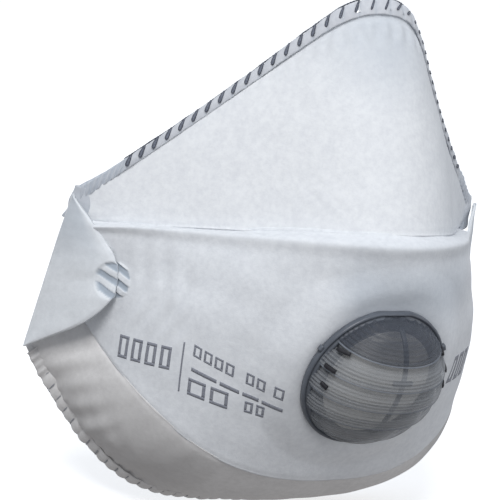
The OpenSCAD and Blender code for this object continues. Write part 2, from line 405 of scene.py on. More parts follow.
def object_coords(tree, scale=(1, 1, 1), turn=(0, 0, 0)):
    coords = tree.nodes.new("ShaderNodeTexCoord").outputs["Object"]
    return add(tree, "ShaderNodeMapping", Vector=coords, Scale=scale, Rotation=turn).outputs["Vector"]


def noise(tree, vector, scale, detail=3, roughness=0.55):
    node = add(tree, "ShaderNodeTexNoise", Vector=vector, Scale=scale, Detail=detail, Roughness=roughness)
    return node.outputs["Fac"]


def mixed(tree, operation, a, b):
    node = tree.nodes.new("ShaderNodeMath")
    node.operation = operation
    give(tree, node.inputs[0], a)
    give(tree, node.inputs[1], b)
    return node.outputs[0]


def ramp(tree, factor, *stops):
    node = add(tree, "ShaderNodeValToRGB", Fac=factor)
    while len(node.color_ramp.elements) < len(stops):
        node.color_ramp.elements.new(0.5)
    for element, (place, colour) in zip(node.color_ramp.elements, stops):
        element.position = place
        element.color = (*colour, 1)
    return node.outputs["Color"]


def grey_ramp(tree, factor, start, low, end, high):
    return ramp(tree, factor, (start, (low,) * 3), (end, (high,) * 3))


def bump(tree, height, strength, distance, **normal):
    node = add(tree, "ShaderNodeBump", Height=height, Strength=strength, Distance=distance, **normal)
    return node.outputs["Normal"]


def toned(tree, base, shade_and_stain_colour):
    """The base colour with a darker colour mixed in by the mesh's tone, for painted shade and stains, and
    that tone.
    """
    tone = tree.nodes.new("ShaderNodeAttribute")
    tone.attribute_name = "tone"
    blend = tree.nodes.new("ShaderNodeMix")
    blend.data_type = "RGBA"
    give(tree, blend.inputs["Factor"], tone.outputs["Fac"])
    give(tree, blend.inputs[6], base)
    give(tree, blend.inputs[7], (*shade_and_stain_colour, 1))
    return blend.outputs[2], tone.outputs["Fac"]


def felt(name, light, dark, fibre=0.35, shade_and_stain_colour=(0.36, 0.42, 0.49)):
    """Needled spunbond: fine fibres lying at several angles, soft blotches, and a darker colour by tone for
    painted shade and the welds' stains.
    """
    material, tree, shader = node_material(name)
    fibres = None
    for turn, stretch in ((0.3, 1), (1.2, 2), (2.2, 3)):
        vector = object_coords(tree, (1, 1, 6), (0.4 * stretch, turn, 0.7 * turn))
        layer = noise(tree, vector, 900, 2)
        fibres = layer if fibres is None else mixed(tree, "MAXIMUM", fibres, layer)
    clumps = noise(tree, object_coords(tree), 620, 4, 0.6)
    blotches = noise(tree, object_coords(tree), 190)
    shade = mixed(tree, "ADD", mixed(tree, "MULTIPLY", clumps, 0.65),
                  mixed(tree, "MULTIPLY", blotches, 0.35))
    colour, _ = toned(tree, ramp(tree, shade, (0.36, dark), (0.62, light)), shade_and_stain_colour)
    normal = bump(tree, clumps, fibre * 0.7, 0.35 * MM)
    give_all(tree, shader, Base_Color=colour, Roughness=grey_ramp(tree, clumps, 0.3, 0.82, 0.7, 0.98),
             Sheen_Weight=0.25, Sheen_Roughness=0.6, Specular_IOR_Level=0.25,
             Normal=bump(tree, fibres, fibre, 0.12 * MM, Normal=normal))
    return material


def spunbond(name, light, dark):
    """Smooth lining with a regular pattern of small bond points."""
    material, tree, shader = node_material(name)
    points = add(tree, "ShaderNodeTexVoronoi", Vector=object_coords(tree, (1, 1, 1), (0.3, 0.5, 0.2)),
                 Scale=850, Randomness=0.25)
    dots = grey_ramp(tree, points.outputs["Distance"], 0.12, 0, 0.3, 1)
    grain = noise(tree, object_coords(tree), 500)
    normal = bump(tree, dots, 0.25, 0.1 * MM)
    give_all(tree, shader, Base_Color=ramp(tree, grain, (0.35, dark), (0.65, light)), Roughness=0.8,
             Sheen_Weight=0.15, Normal=bump(tree, grain, 0.3, 0.1 * MM, Normal=normal))
    return material


def thread(name, light, dark):
    material, tree, shader = node_material(name)
    grain = noise(tree, object_coords(tree, (1, 1, 1), (0.5, 0.5, 0)), 2600, 2)
    give_all(tree, shader, Base_Color=ramp(tree, grain, (0.35, dark), (0.7, light)), Roughness=0.75,
             Sheen_Weight=0.2, Normal=bump(tree, grain, 0.6, 0.08 * MM))
    return material


def moulded(name, light, dark, roughness):
    """Solid moulded plastic with a faint flow pattern."""
    material, tree, shader = node_material(name)
    flow = noise(tree, object_coords(tree, (1, 3, 1)), 160)
    grain = noise(tree, object_coords(tree), 900, 2)
    rough = grey_ramp(tree, grain, 0.3, roughness - 0.06, 0.7, roughness + 0.06)
    give_all(tree, shader, Base_Color=ramp(tree, flow, (0.3, dark), (0.7, light)), Roughness=rough,
             IOR=1.49, Normal=bump(tree, flow, 0.08, 0.2 * MM))
    return material


def smoked(name, light, dark, cover):
    """Thin smoked plastic: a share of the light, cover, stops at each surface, more at a slant, and more
    where the tone paints shade in a dark colour.
    """
    material, tree, shader = node_material(name)
    flow = noise(tree, object_coords(tree, (1, 1, 3)), 120)
    colour, tone = toned(tree, ramp(tree, flow, (0.3, dark), (0.7, light)), (0.07, 0.08, 0.10))
    facing = add(tree, "ShaderNodeLayerWeight", Blend=0.5).outputs["Facing"]
    grazing = mixed(tree, "MULTIPLY", mixed(tree, "POWER", facing, 2.0), 0.45)
    stopped = mixed(tree, "ADD", grey_ramp(tree, flow, 0.3, cover + 0.05, 0.7, cover - 0.05), grazing)
    grain = noise(tree, object_coords(tree), 1500, 2)
    give_all(tree, shader, Base_Color=colour, Roughness=0.38, Specular_IOR_Level=0.35,
             Alpha=mixed(tree, "ADD", stopped, mixed(tree, "MULTIPLY", tone, 0.4)),
             Normal=bump(tree, grain, 0.12, 0.05 * MM))
    return material


def metal(name):
    material, tree, shader = node_material(name)
    brushed = noise(tree, object_coords(tree, (1, 12, 12)), 500)
    colours = ((0.3, (0.62, 0.63, 0.64)), (0.7, (0.78, 0.79, 0.80)))
    give_all(tree, shader, Base_Color=ramp(tree, brushed, *colours), Metallic=1, Roughness=0.35,
             Normal=bump(tree, brushed, 0.2, 0.05 * MM))
    return material


def foam_material(name):
    material, tree, shader = node_material(name)
    cells = add(tree, "ShaderNodeTexVoronoi", Vector=object_coords(tree), Scale=1400).outputs["Distance"]
    colours = ((0.1, (0.05, 0.055, 0.06)), (0.6, (0.16, 0.17, 0.18)))
    give_all(tree, shader, Base_Color=ramp(tree, cells, *colours), Roughness=0.95,
             Normal=bump(tree, cells, 0.6, 0.25 * MM))
    return material


WHITE_FELT = felt("white_felt", (0.86, 0.875, 0.89), (0.77, 0.785, 0.81))
# The middle panel's felt is a little darker than the upper panel's: painted shade
MIDDLE_FELT_SHADED = felt("middle_felt_shaded", (0.82, 0.84, 0.865), (0.73, 0.75, 0.78))
# The chin felt's last colour is the painted shade that its tone mixes in
CHIN_FELT = felt("chin_felt", (0.78, 0.765, 0.755), (0.69, 0.675, 0.665), 0.3, (0.36, 0.35, 0.345))
HEM_FELT = felt("hem_felt", (0.66, 0.68, 0.715), (0.56, 0.58, 0.62), 0.25)
TAB_FELT = felt("tab_felt", (0.80, 0.825, 0.85), (0.73, 0.755, 0.78), 0.25)
LINING = spunbond("lining", (0.80, 0.81, 0.82), (0.72, 0.73, 0.74))
THREAD = thread("slate_thread", (0.09, 0.10, 0.13), (0.03, 0.035, 0.05))
THREAD_CORE = thread("slate_core", (0.20, 0.22, 0.27), (0.09, 0.10, 0.13))
CHIN_THREAD = thread("chin_thread", (0.36, 0.37, 0.40), (0.25, 0.26, 0.28))
SMOKE = smoked("smoked_plastic", (0.46, 0.475, 0.495), (0.38, 0.395, 0.415), 0.29)
# A darker, more opaque copy of the smoked plastic for the top louvre: painted shade
SMOKE_TOP_SHADED = smoked("smoked_top_shaded", (0.11, 0.12, 0.145), (0.08, 0.09, 0.11), 0.42)
# A painted highlight along each louvre's lower edge
SMOKE_EDGE_HIGHLIGHT = smoked("smoked_edge_highlight", (0.33, 0.36, 0.41), (0.27, 0.30, 0.35), 0.5)
SLOT = moulded("slot_shadow", (0.02, 0.02, 0.025), (0.01, 0.01, 0.014), 0.6)
RIM = moulded("rim_plastic", (0.125, 0.14, 0.165), (0.09, 0.10, 0.12), 0.34)
SEAT = moulded("seat_plastic", (0.21, 0.22, 0.235), (0.16, 0.17, 0.185), 0.4)
BAR = moulded("bar_plastic", (0.66, 0.65, 0.62), (0.58, 0.57, 0.54), 0.45)
SILICONE = moulded("silicone", (0.84, 0.82, 0.77), (0.74, 0.72, 0.67), 0.5)
INK = thread("grey_ink", (0.30, 0.31, 0.35), (0.20, 0.21, 0.25))
CLIP = metal("clip_metal")
FOAM = foam_material("foam_cells")


# ---------------- fabric panels

# Heights of the layers' faces against the outside of the mask
COVER_DEPTH = -1.2 * MM
LINING_TOP = -1.3 * MM
LINING_DEPTH = -1.75 * MM
# How far each web runs on past a crease
LAP = 0.35 * MM


def upper_painted_shade(p):
    """Painted shade: the gathers at the bridge of the nose are greyer, and so is the panel's left part."""
    bridge = 0.42 * bell(p[..., 0], 19 * MM) * smooth((p[..., 2] - 58 * MM) / (24 * MM))
    return bridge + 0.22 * smooth((p[..., 0] - 4 * MM) / (26 * MM))


def middle_weld_stain_and_painted_shade(p):
    """Grey in the weld's stained bars, and painted shade softly above the valve."""
    bars, _ = weld(p)
    # Painted shade above the valve
    above = smooth((p[..., 0] + 22 * MM) / (12 * MM)) * smooth((44 * MM - p[..., 0]) / (26 * MM))
    above = above * bell(p[..., 2] - 15 * MM, 10 * MM)
    return np.maximum(WELD_STAIN * bars, 0.45 * above)


def lower_painted_shade(p):
    """Painted shade: the chin panel is greyer towards the cheek ends of its gathered edge."""
    low = smooth((-15 * MM - p[..., 2]) / (22 * MM))
    return 0.42 * low * smooth((np.abs(p[..., 0]) - 26 * MM) / (16 * MM))


def panel_layers(part, panel, height, free_edges, relief, painted_shade_and_stain, material, rows, columns=420):
    """The outer web, with the filter behind it, and the lining. free_edges tells hems from creases."""
    past_top, past_bottom = (0 if free else LAP / height for free in free_edges)

    def sheet_points(s_count, u_count, heights):
        s = np.linspace(-past_top, 1 + past_bottom, s_count)[:, None]
        u = np.linspace(-1, 1, u_count)[None, :]
        s, u = np.broadcast_arrays(s, u)
        p, n, _ = panel_frame(panel, s, u)
        h = relief(s, u, p)
        return [p + n * (h + level)[..., None] for level in heights], p

    (top, bottom), p = sheet_points(rows, columns, (0, COVER_DEPTH))
    cover = shell("outer_web_" + part, top, bottom, material)
    # The outer web's tone: painted shade, and the welds' stained bars on the middle panel
    tones = np.broadcast_to(painted_shade_and_stain(p), (rows, columns)).ravel()
    set_tone(cover, np.concatenate([tones, tones]))
    (top, bottom), _ = sheet_points(rows // 2, columns // 2, (LINING_TOP, LINING_DEPTH))
    lining = shell("inner_web_" + part, top, bottom, LINING)
    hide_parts("cover_" + part, "filter_" + part)
    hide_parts("lining_" + part)
    return cover, lining


def cut_round(piece, radius):
    """Cuts the valve's hole through a piece."""
    bpy.ops.mesh.primitive_cylinder_add(vertices=96, radius=radius, depth=20 * MM, location=VALVE_POS)
    cutter = bpy.context.object
    cutter.rotation_mode = "QUATERNION"
    cutter.rotation_quaternion = VALVE_TURN
    bpy.context.view_layer.update()
    cut = piece.modifiers.new("hole", "BOOLEAN")
    cut.operation = "DIFFERENCE"
    cut.solver = "EXACT"
    cut.object = cutter
    bpy.context.view_layer.objects.active = piece
    bpy.ops.object.modifier_apply(modifier=cut.name)
    bpy.data.objects.remove(cutter)


cover_upper, lining_upper = panel_layers(
    "upper", UPPER, UPPER_HEIGHT, (True, False), upper_relief, upper_painted_shade, WHITE_FELT, 150)
cover_middle, lining_middle = panel_layers(
    "middle", MIDDLE, MIDDLE_HEIGHT, (False, False), middle_relief, middle_weld_stain_and_painted_shade, MIDDLE_FELT_SHADED, 190)
cover_lower, lining_lower = panel_layers(
    "lower", LOWER, LOWER_HEIGHT, (False, True), lower_relief, lower_painted_shade, CHIN_FELT, 100)


def crease_core(name, edge, material):
    """The folded web's thickness along a crease, just behind it."""
    t = np.linspace(-1, 1, 320)
    p = mirrored(bezier(edge, np.abs(t)), t)
    along = unit(np.gradient(p, axis=0))
    out = unit(np.cross(along, (0, 0, 1)))
    out = np.where(out[:, 1:2] > 0, -out, out)
    piece = new_object(name, *tube(p - out * 1.7 * MM, out, 0.9 * MM, 10), material)
    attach(piece, "mask_body")
    return piece


crease_core("crease_upper", UPPER_CREASE, MIDDLE_FELT_SHADED)
crease_core("crease_lower", LOWER_CREASE, CHIN_FELT)
cut_round(cover_middle, HOLE_R)
cut_round(lining_middle, HOLE_R)


# ---------------- hems and overlock thread

def hem_section():
    """(reach, height) points in metres round a hem that is folded over an edge."""
    width, inside, web = HEM_W / MM, -2.2, 0.1
    rise = [k / 14 for k in range(14)]
    outer = [(width * (1 - t), 0.42 + 0.55 * math.sin(math.pi * min(1, t / 0.62) / 2)) for t in rise]
    top = outer[-1][1]
    middle, radius = (top + inside) / 2, (top - inside) / 2
    turns = [math.pi * k / 10 for k in range(11)]
    bend = [(-0.85 * math.sin(turn), middle + radius * math.cos(turn)) for turn in turns]
    inner = [(width * k / 6, inside) for k in range(1, 7)]
    back = [(width, inside + 0.3), (0.2, inside + 0.3), (0.2, web), (width, web)]
    return np.array(outer + bend + inner + back) * MM


def hem(name, panel, relief, s_edge, into, pitch, stitches, lobe_height, scallop, material):
    """A folded hem with a soft lobe between every two stitches, and small pleats beyond the last ones."""
    edge = panel[s_edge]
    section = hem_section()
    end = edge_lengths(edge)[1][-1] - 2 * MM
    d = np.linspace(-end, end, int(2 * end / (pitch / 13)))
    u = u_at(edge, d)
    p, n, down = panel_frame(panel, np.full_like(u, s_edge), u)
    base = relief(s_edge + into * 0.05, u, p) * 0.3
    sewn = smooth((stitches * pitch / 2 - np.abs(d)) / (3 * MM))
    loose = 1 - sewn
    lobe = (np.abs(np.cos(math.pi * d / pitch)) ** 0.55 - 1) * (0.35 + 0.65 * sewn)
    uneven = 0.12 * MM * waves(p, 9 * MM, 7, 41)
    pleats = np.sin(TAU * d / PLEAT_PITCH + waves(p, 14 * MM, 5, 42))
    sink = PLEAT_HEIGHT * loose if into > 0 else np.full_like(d, PLEAT_HEIGHT)
    reach = np.broadcast_to(section[:, 0], (len(d), len(section)))
    outermost = np.clip(1 - reach / (1.5 * MM), 0, 1)
    reach = reach - outermost * (scallop * lobe + uneven)[:, None]
    outside = np.clip((section[:, 1] + 0.6 * MM) / (1.2 * MM), 0, 1)
    swell = lobe_height * lobe + uneven + PLEAT_HEIGHT * loose * pleats - sink
    height = section[:, 1] + outside * swell[:, None] + base[:, None]
    points = p[:, None] + into * down[:, None] * reach[..., None] + n[:, None] * height[..., None]
    piece = swept(name, points if into > 0 else points[:, ::-1], material)
    # Painted shade: darker in the grooves at the stitches, and over the loose ends, most in the valleys of
    # their pleats
    tones = 0.3 * sewn * bell(np.cos(math.pi * d / pitch), 0.28)
    tones = tones + loose * (0.24 + 0.22 * smooth(0.5 - 0.8 * pleats))
    set_tone(piece, np.repeat(tones, len(section)))
    return piece


nose_hem = hem("nose_hem_fold", UPPER, upper_relief, 0, 1, NOSE_PITCH, NOSE_STITCHES,
               0.42 * MM, 0.3 * MM, HEM_FELT)
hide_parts("nose_hem")
chin_hem = hem("chin_hem_fold", LOWER, lower_relief, 1, -1, CHIN_PITCH, CHIN_STITCHES,
               0.3 * MM, 0.6 * MM, CHIN_FELT)
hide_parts("chin_hem")


def stitch_places(panel, s_edge, pitch, stitches):
    """Distance along the edge, the edge point, its normal and the stitch's direction, for each stitch."""
    edge = panel[s_edge]
    step = 0.5 * MM
    d = pitch * (np.arange(stitches) - (stitches - 1) / 2)
    before, after = (panel_point(panel, s_edge, u_at(edge, d + shift)) for shift in (-step, step))
    p, n, down = panel_frame(panel, np.full_like(d, s_edge), u_at(edge, d))
    tangent = unit(after - before)
    straight = unit(down - np.sum(down * tangent, -1, keepdims=True) * tangent)
    other_way = 2 * np.sum(down * straight, -1, keepdims=True) * straight - down
    return zip(d, p, n, np.where((d > 0)[:, None], other_way, down))


def leaf(p, normal, down, length, half_width, half_depth, slant):
    """A flattened drop of thread, narrow at the edge and round at its inner end, with its outline."""
    t = np.linspace(0, 1, 15)
    width = half_width * (t ** 0.7 * np.sqrt(1 - t ** 5) + 0.16)
    depth = half_depth * (0.5 + 0.5 * np.sqrt(np.sin(math.pi * np.clip(t, 0.02, 0.98))))
    path = p + (t * length)[:, None] * (down + slant * np.cross(down, normal))
    path = path + normal * (0.62 * MM + 0.22 * MM * np.sin(math.pi * t * 0.8))[:, None]
    side, up = side_and_up(path, normal)
    crest = path + up * (0.5 * depth)[:, None]
    outline = [crest + side * (sign * 0.85 * width)[:, None] for sign in (-1, 1)]
    return loop_solid(ellipses(path, side, up, width, depth, 10)), outline, up


def edge_thread(panel, s_edge, into, end, radius, reach, height, seed):
    """The thread that locks the stitches along the outermost edge."""
    edge = panel[s_edge]
    d = np.linspace(-end, end, int(2 * end / (0.45 * MM)))
    p, n, down = panel_frame(panel, np.full_like(d, s_edge), u_at(edge, d))
    rng = np.random.default_rng(seed)
    twist = TAU * d / (1.9 * MM)
    wander = 0.1 * MM * np.interp(d, np.linspace(-end, end, 60), rng.normal(size=60))
    parts = []
    for start in (0, math.pi):
        path = (p - into * down * (reach + wander + 0.1 * MM * np.cos(twist + start))[:, None]
                + n * (height + 0.1 * MM * np.sin(twist + start))[:, None])
        parts.append(tube(path, n, radius, 6))
    return parts


def nose_overlock():
    bodies, strands = [], []
    for d, p, n, down in stitch_places(UPPER, 0, NOSE_PITCH, NOSE_STITCHES):
        narrow = 1 - 0.55 * bell(d, 16 * MM)
        slant = 0.45 * bell(d, 14 * MM)
        start = p - down * 0.55 * MM
        body, outline, up = leaf(start, n, down, 3.7 * MM, 0.66 * MM * narrow, 0.24 * MM, slant)
        bodies.append(body)
        strands += [tube(line, up, 0.13 * MM, 6) for line in outline]
    strands += edge_thread(UPPER, 0, 1, 87 * MM, 0.15 * MM, 0.9 * MM, 0.15 * MM, 51)
    return joined("nose_stitches", bodies, THREAD_CORE), joined("nose_overlock", strands, THREAD)


nose_stitches, nose_thread = nose_overlock()
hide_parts("nose_stitching")


def chin_overlock():
    parts = []
    for _, p, n, down in stitch_places(LOWER, 1, CHIN_PITCH, CHIN_STITCHES):
        start = p + down * 0.4 * MM - n * 0.3 * MM
        body, _, _ = leaf(start, n, -down, 3.6 * MM, 0.27 * MM, 0.13 * MM, 0)
        parts.append(body)
    parts += edge_thread(LOWER, 1, -1, 84 * MM, 0.09 * MM, 0.75 * MM, -0.1 * MM, 52)
    return joined("chin_overlock", parts, CHIN_THREAD)


chin_thread = chin_overlock()
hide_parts("chin_stitching")


# ---------------- cheek tabs

TAB_TOP = mm((67.8, -1.2, 23.8))[0]
TAB_BOTTOM = mm((72.1, 7.0, -23.5))[0]
# Free edge of the left tab, from its top to its bottom
TAB_EDGE = mm((67.6, -1.5, 23.1), (64.5, -4.3, 19.3), (62.5, -6.8, 16.5), (60.2, -10.3, 12.8),
              (59.0, -13.6, 10.1), (58.6, -15.7, 6.3), (58.4, -16.1, 2.9), (59.2, -16.8, -1.5),
              (61.2, -13.3, -7.0), (64.1, -7.9, -12.4), (68.3, -0.2, -18.2), (72.0, 6.4, -23.2))
# Away from the cheek, and the way in which the tab stands off above and below its weld
TAB_OUT = unit(np.array((0.92, -0.39, 0)))
TAB_LOOSE = np.array((0.5, -0.86, 0.1))


def smooth_line(points, count):
    """Catmull-Rom curve through the points."""
    p = np.vstack([2 * points[0] - points[1], points, 2 * points[-1] - points[-2]])
    out = []
    for x in np.linspace(0, len(points) - 1 - 1e-9, count):
        i, t = int(x), x - int(x)
        a, b, c, d = p[i:i + 4]
        out.append(0.5 * (2 * b + (c - a) * t + (2 * a - 5 * b + 4 * c - d) * t * t
                          + (3 * b - a - 3 * c + d) * t ** 3))
    return np.array(out)


def side_tab(name, side):
    """The folded end of the laminate: a double sheet that turns round the cheek fold."""
    rows, columns = 120, 60
    v, w = np.linspace(0, 1, rows), np.linspace(0, 1, columns)
    edge = smooth_line(TAB_EDGE, rows)
    fold = TAB_TOP + (TAB_BOTTOM - TAB_TOP) * v[:, None]
    flat = edge[:, None] * (1 - w)[:, None] + fold[:, None] * w[:, None]
    swell = (0.6 + 0.8 * np.sin(math.pi * w) ** 0.8) * MM
    near = (0.25 + 0.75 * smooth(v / 0.3))[:, None]
    loose = 0.5 * bell(v - 0.15, 0.12) + 1.9 * bell(v - 0.82, 0.17)
    relief = 0.12 * MM * waves(flat, 14 * MM, 7, 31) + 0.03 * MM * waves(flat, 4 * MM, 7, 32)
    bars, disc = weld(flat)
    lift = near * swell * (1 - 0.7 * disc) + relief * (1 - disc) - 0.4 * MM * bars
    thick = (0.55 + 0.35 * np.minimum(1, 12 * w + 0.1)) * MM
    raised = flat + TAB_LOOSE * (loose[:, None] * (1 - w) ** 1.5)[..., None] * MM
    top = raised + TAB_OUT * (lift + thick)[..., None]
    bottom = raised + TAB_OUT * lift[..., None]
    turn = np.linspace(0, math.pi, 10)[1:-1]
    away = unit(fold - edge)
    wrap = (fold[:, None] + away[:, None] * (0.45 * MM * np.sin(turn))[:, None]
            + TAB_OUT * (near * 0.6 * MM + 0.55 * MM * (1 + np.cos(turn)))[..., None])
    loops = np.concatenate([top, wrap, bottom[:, ::-1]], 1)
    # Painted shade over the upper part of the tab, and the weld's stained bars
    shade = 0.44 * smooth((0.55 - v) / 0.45)[:, None] * smooth(w * 3)
    tones = np.concatenate([np.maximum(WELD_STAIN * bars, shade), np.zeros((rows, len(turn) + columns))], 1)
    if side < 0:
        loops, tones = loops[:, ::-1] * np.array((-1, 1, 1)), tones[:, ::-1]
    piece = swept(name, loops, TAB_FELT)
    set_tone(piece, tones)
    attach(piece, "mask_body")
    return piece


tab_left = side_tab("tab_left", 1)
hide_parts("side_tab_left")
tab_right = side_tab("tab_right", -1)
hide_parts("side_tab_right")


def cheek_binding(side):
    """The end of the nose hem, turned down over the cheek end of the upper panel."""
    around = 14
    s = np.linspace(0, 0.98, 40)
    p, n, down = panel_frame(UPPER, s, np.full_like(s, 0.986 * side))
    half_width = (2.2 + 1.2 * smooth(s * 2) + 1.5 * smooth(s * 3 - 2)) * MM
    path = p + n * (0.15 * waves(p, 5 * MM, 7, 62) - 0.35)[:, None] * MM
    loops = ellipses(path, unit(np.cross(n, down)), n, half_width, 1.25 * MM, around)
    piece = swept("hem_end_" + side_name(side), loops[:, ::-1], HEM_FELT)
    # Painted shade, darker towards the crease
    set_tone(piece, np.repeat(0.15 + 0.2 * smooth(s * 2 - 0.6), around))
    return piece


hem_ends = [cheek_binding(side) for side in (-1, 1)]


# ---------------- generic print

# The print is laid out by angle about a vertical axis at this y, from the middle, and by height
PRINT_AXIS_Y = -10 * MM
INK_DEPTH = 0.05 * MM


def surface_at(panel, angle, z, s, u):
    """s and u where a panel meets the given angle and height, by Newton's method from a first guess."""
    def reading(s, u):
        p = panel_point(panel, s, u)
        return np.arctan2(p[..., 0], PRINT_AXIS_Y - p[..., 1]), p[..., 2]

    s, u = np.full(angle.shape, s), np.full(angle.shape, u)
    for _ in range(12):
        a0, z0 = reading(s, u)
        a1, z1 = reading(s + TINY, u)
        a2, z2 = reading(s, u + TINY)
        ds_a, ds_z = (a1 - a0) / TINY, (z1 - z0) / TINY
        du_a, du_z = (a2 - a0) / TINY, (z2 - z0) / TINY
        det = ds_a * du_z - du_a * ds_z
        miss_a, miss_z = angle - a0, z - z0
        s = s + np.clip((miss_a * du_z - miss_z * du_a) / det, -0.1, 0.1)
        u = u + np.clip((miss_z * ds_a - miss_a * ds_z) / det, -0.1, 0.1)
    return s, u


def print_block(left, right, height):
    """A thin raised block of ink between two (degrees, height in millimetres) ends of its centre line."""
    across = max(3, int(abs(right[0] - left[0]) * 2.5))
    up = max(3, int(height * 2.5))
    share, level = np.meshgrid(np.linspace(0, 1, across), np.linspace(-0.5, 0.5, up))
    angle = np.radians(left[0] + (right[0] - left[0]) * share)
    z = (left[1] + (right[1] - left[1]) * share + height * level) * MM
    s, u = surface_at(MIDDLE, angle, z, 0.6, 0.5 * np.sign(left[0]))
    p, n, _ = panel_frame(MIDDLE, s, u)
    h = middle_relief(s, u, p)
    points = [(p + n * (h + level)[..., None]).reshape(-1, 3) for level in (INK_DEPTH, -INK_DEPTH)]
    return np.concatenate(points), [tuple(f) for f in layer_faces(*angle.shape)[:, ::-1]]


def print_frame(left, right, height, stroke):
    """A hollow box of ink, as four blocks."""
    turn, rise = right[0] - left[0], right[1] - left[1]
    # The print's radius makes a degree about 0.9 mm
    wide = stroke / abs(turn) / 0.9
    inner_height = height - 2 * stroke
    blocks = []
    for lift in (-(height - stroke) / 2, (height - stroke) / 2):
        blocks.append(print_block((left[0], left[1] + lift), (right[0], right[1] + lift), stroke))
    blocks.append(print_block(left, (left[0] + turn * wide, left[1] + rise * wide), inner_height))
    blocks.append(print_block((right[0] - turn * wide, right[1] - rise * wide), right, inner_height))
    return blocks


# Ends in degrees of the boxes and dashes inward of the rule, and of the boxes on the left side
TOP_BOXES = ((-55, -52.4), (-51.6, -49), (-48.2, -45.6), (-44.8, -42.2), (-38.5, -36), (-35.2, -32.6),
             (-30, -27))
DASHES = ((-55, -47), (-46, -40), (-39, -34), (-33, -26.5))
LARGE_BOXES = ((-55.5, -50), (-48.5, -43))
SMALL_BOXES = ((-38, -35.4), (-34.4, -31.8))
FAR_BOXES = ((36, 40.2), (41.6, 45.8), (47.2, 51.4))


def print_row(shape, spans, start, height, slope, *size):
    """Blocks or boxes on a line that has the given height at the start angle, and slopes in mm a degree."""
    return [shape(*((end, height + slope * (end - start)) for end in span), *size) for span in spans]


def print_marks():
    """Plain boxes, a rule and dashes, in place of the print on the middle panel."""
    first_boxes = [(left, left + 3.5) for left in (-80 + 4.9 * k for k in range(4))]
    boxes = print_row(print_frame, first_boxes, -80, -14.6, 0.08, 6.6, 0.9)
    rule = print_row(print_block, [(-58.4, -57.9)], -58, -14.6, 0, 14.6)
    boxes += print_row(print_frame, TOP_BOXES, -55, -8.8, -0.27, 3.4, 0.6)
    dashes = print_row(print_block, DASHES, -55, -14.4, -0.24, 1.1)
    boxes += print_row(print_frame, LARGE_BOXES, -55, -19.6, -0.14, 5, 0.9)
    boxes += print_row(print_frame, SMALL_BOXES, -55, -19.6, -0.14, 3.4, 0.7)
    boxes += print_row(print_frame, FAR_BOXES, 36, -11.5, 0, 8.5, 1.3)
    piece = joined("print_marks", [block for box in boxes for block in box] + rule + dashes, INK)
    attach(piece, "mask_body")
    return piece


marks = print_marks()


# ---------------- exhalation valve

DOME_R = 20.4 * MM
DOME_H = 15.6 * MM
# The dome is fuller towards its top by this share
DOME_LEAN = 0.2
RIM_Z = 1.4 * MM
# Heights in millimetres up the base where one louvre ends and the next begins, and at the two ends
LOUVRES = (DOME_R / MM - 0.02, 12.5, 5.5, -1.5, -8.5, -15.0, -DOME_R / MM + 0.02)
RIDGE_PITCH = 1.0 * MM


def on_valve(x, y, z):
    """Points on the valve's own axes: x across it, y up its base, z out of it, in metres."""
    x, y, z = (part[..., None] for part in np.broadcast_arrays(x, y, z))
    return VALVE_POS + x * np.array((1, 0, 0)) + y * VALVE_UP + z * VALVE_OUT


def dome_point(y, angle, offset):
    """A point of the dome at height y up the base and at an angle across it, moved along the normal."""
    y = np.clip(y, -0.9995 * DOME_R, 0.9995 * DOME_R)
    half = np.sqrt(DOME_R ** 2 - y ** 2)
    x = half * np.sin(angle)
    z = DOME_H * (1 + DOME_LEAN * y / DOME_R) * half / DOME_R * np.cos(angle)
    n_y = y / DOME_R ** 2 - DOME_LEAN * z / (DOME_R * DOME_H)
    n = unit(np.stack([x / DOME_R ** 2, n_y, z / DOME_H ** 2], -1)) * np.asarray(offset)[..., None]
    return on_valve(x + n[..., 0], y + n[..., 1], RIM_Z + np.maximum(z + n[..., 2], 0))


def louvre_band(name, top, bottom, first):
    """One louvre of the cover. Its upper edge tucks under the louvre above it."""
    rows, columns = 46, 110
    start = top if first else top + 0.8 * MM
    y = np.linspace(start, bottom, rows)[:, None]
    angle = np.linspace(-math.pi / 2, math.pi / 2, columns)
    y, angle = np.broadcast_arrays(y, angle)
    share = (top - y) / (top - bottom)
    tuck = 0 if first else -1.3 * MM
    rise = tuck * (1 - smooth(share * 1.5 + 0.1)) + 0.3 * MM * share
    side = smooth((np.abs(angle) - 1.12) / 0.1)
    wave = np.sin(TAU * y / RIDGE_PITCH)
    outside = dome_point(y, angle, rise + (0.12 + 0.14 * side) * MM * wave)
    inside = dome_point(y, angle, rise - 0.75 * MM)
    piece = shell(name, outside, inside, SMOKE_TOP_SHADED if first else SMOKE)
    # Painted shade in the troughs between the ridges, darker and more opaque towards the sides, fainter on
    # the inner face
    dark = (0.5 - 0.5 * wave) * (0.2 + 0.5 * side) * (share < 0.93)
    set_tone(piece, np.concatenate([dark, 0.3 * dark]))
    # The last two rows of faces on the outer side take a painted highlight along the louvre's lower edge
    piece.data.materials.append(SMOKE_EDGE_HIGHLIGHT)
    for face in piece.data.polygons[(rows - 3) * (columns - 1):(rows - 1) * (columns - 1)]:
        face.material_index = 1
    return piece


def turned(name, profile, material, flat_top):
    """A ring turned round the valve's axis from (radius, height) points, its upper side cut at flat_top."""
    steps = 160
    angle = np.linspace(0, TAU, steps, endpoint=False)
    radius, z = (mm(*profile).T)[..., None]
    x = radius * np.cos(angle)
    y = np.minimum(radius * np.sin(angle), flat_top - (VALVE_R - radius) * 0.9)
    rows = len(profile)
    j = np.arange(steps)
    k = (j + 1) % steps
    m = (rows - 1) * steps
    closing = np.stack([j, k, m + k, m + j], -1)
    faces = np.concatenate([grid_faces(rows, steps, closed=True, flip=True), closing])
    return new_object(name, on_valve(x, y, z).reshape(-1, 3), faces, material)


